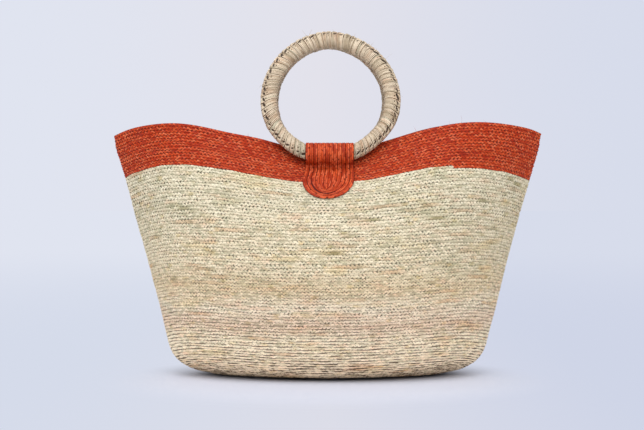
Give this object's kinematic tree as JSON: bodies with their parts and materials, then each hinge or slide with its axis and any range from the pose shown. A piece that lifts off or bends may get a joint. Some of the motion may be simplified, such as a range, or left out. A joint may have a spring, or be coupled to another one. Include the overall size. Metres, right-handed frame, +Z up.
{
  "type": "palm leaf tote",
  "caption": "Sewn palm braid tote with a pinched mouth, a dyed rim band and wrapped ring handles that swing in dyed strap tabs.",
  "frame": {"origin": "on the surface the tote stands on, under the middle of the base", "axes": "+X along the length of the bag, +Y from the front face to the back face, +Z up"},
  "size_m": [0.4618, 0.2162, 0.3662],
  "materials": {
    "natural_palm": "matte sewn palm braid, natural cream with greenish and tan strands",
    "dyed_palm": "matte sewn palm braid, dyed burnt orange red",
    "wrap_palm": "satin palm strip wound round the hoop with hitches on its outer edge",
    "hoop_wood": "raw bent cane"
  },
  "bodies": {
    "bag": {"base_coil": "natural_palm", "natural_wall": "natural_palm", "dyed_band": "dyed_palm", "front_tab": "dyed_palm", "back_tab": "dyed_palm"},
    "front_ring": {"front_ring_hoop": "hoop_wood", "front_ring_wrap": "wrap_palm"},
    "back_ring": {"back_ring_hoop": "hoop_wood", "back_ring_wrap": "wrap_palm"}
  },
  "joints": [
    {"name": "front_ring_swing", "type": "hinge", "parent": "bag", "child": "front_ring", "pos_m": [0.002, -0.04824, 0.23571], "axis": [1, 0, 0], "range_deg": [0, 144]},
    {"name": "back_ring_swing", "type": "hinge", "parent": "bag", "child": "back_ring", "pos_m": [0.002, 0.04824, 0.23571], "axis": [-1, 0, 0], "range_deg": [0, 144]}
  ]
}
